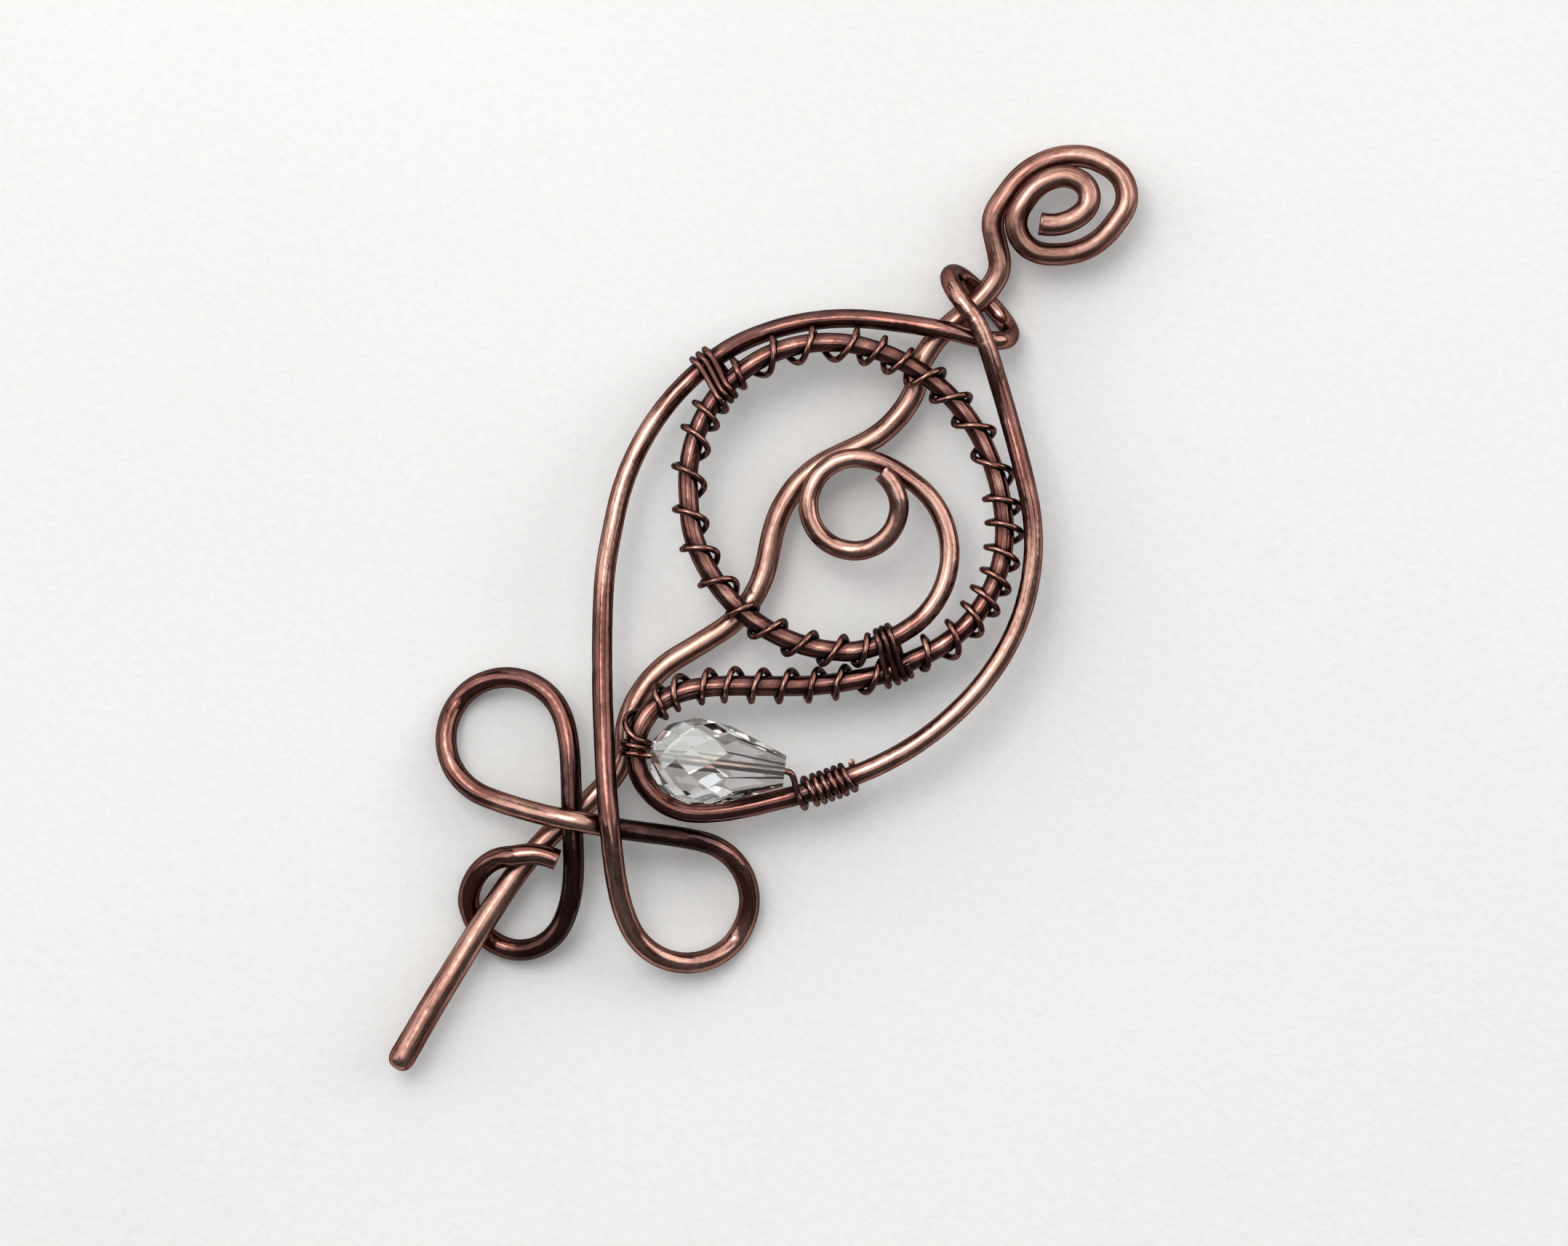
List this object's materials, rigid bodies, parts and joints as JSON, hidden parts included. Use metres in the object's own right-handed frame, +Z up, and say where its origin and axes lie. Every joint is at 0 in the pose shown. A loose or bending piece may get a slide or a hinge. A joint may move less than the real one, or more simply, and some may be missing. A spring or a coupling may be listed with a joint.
{
  "type": "hair barrette",
  "caption": "Hair barrette bent from round copper wire as a looped openwork frame with thin wire windings and a faceted drop bead, with a loose wavy hair stick woven through it.",
  "frame": {"origin": "middle of the bounding box in plan, on the surface that the barrette lies on", "axes": "+Z up out of the barrette's face, +Y along the hair stick towards its spiral head, +X to the right seen from above"},
  "size_m": [0.0426, 0.1128, 0.0126],
  "materials": {
    "frame_copper": "antiqued copper: polished on the highs, dark brown patina in the lows",
    "stick_copper": "brushed and lightly antiqued copper",
    "thin_copper": "dark antiqued copper, polished on top",
    "clear_bead": "clear faceted glass"
  },
  "bodies": {
    "frame": {"frame_wire": "frame_copper", "ring_wrap": "thin_copper", "lower_binding": "thin_copper", "bead_wire": "thin_copper", "crystal_bead": "clear_bead"},
    "stick": {"hair_stick": "stick_copper"}
  },
  "joints": [
    {"name": "stick_slide", "type": "slide", "parent": "frame", "child": "stick", "axis": [0.03, 0.9996, 0], "range_m": [-0.001, 0.009]}
  ]
}
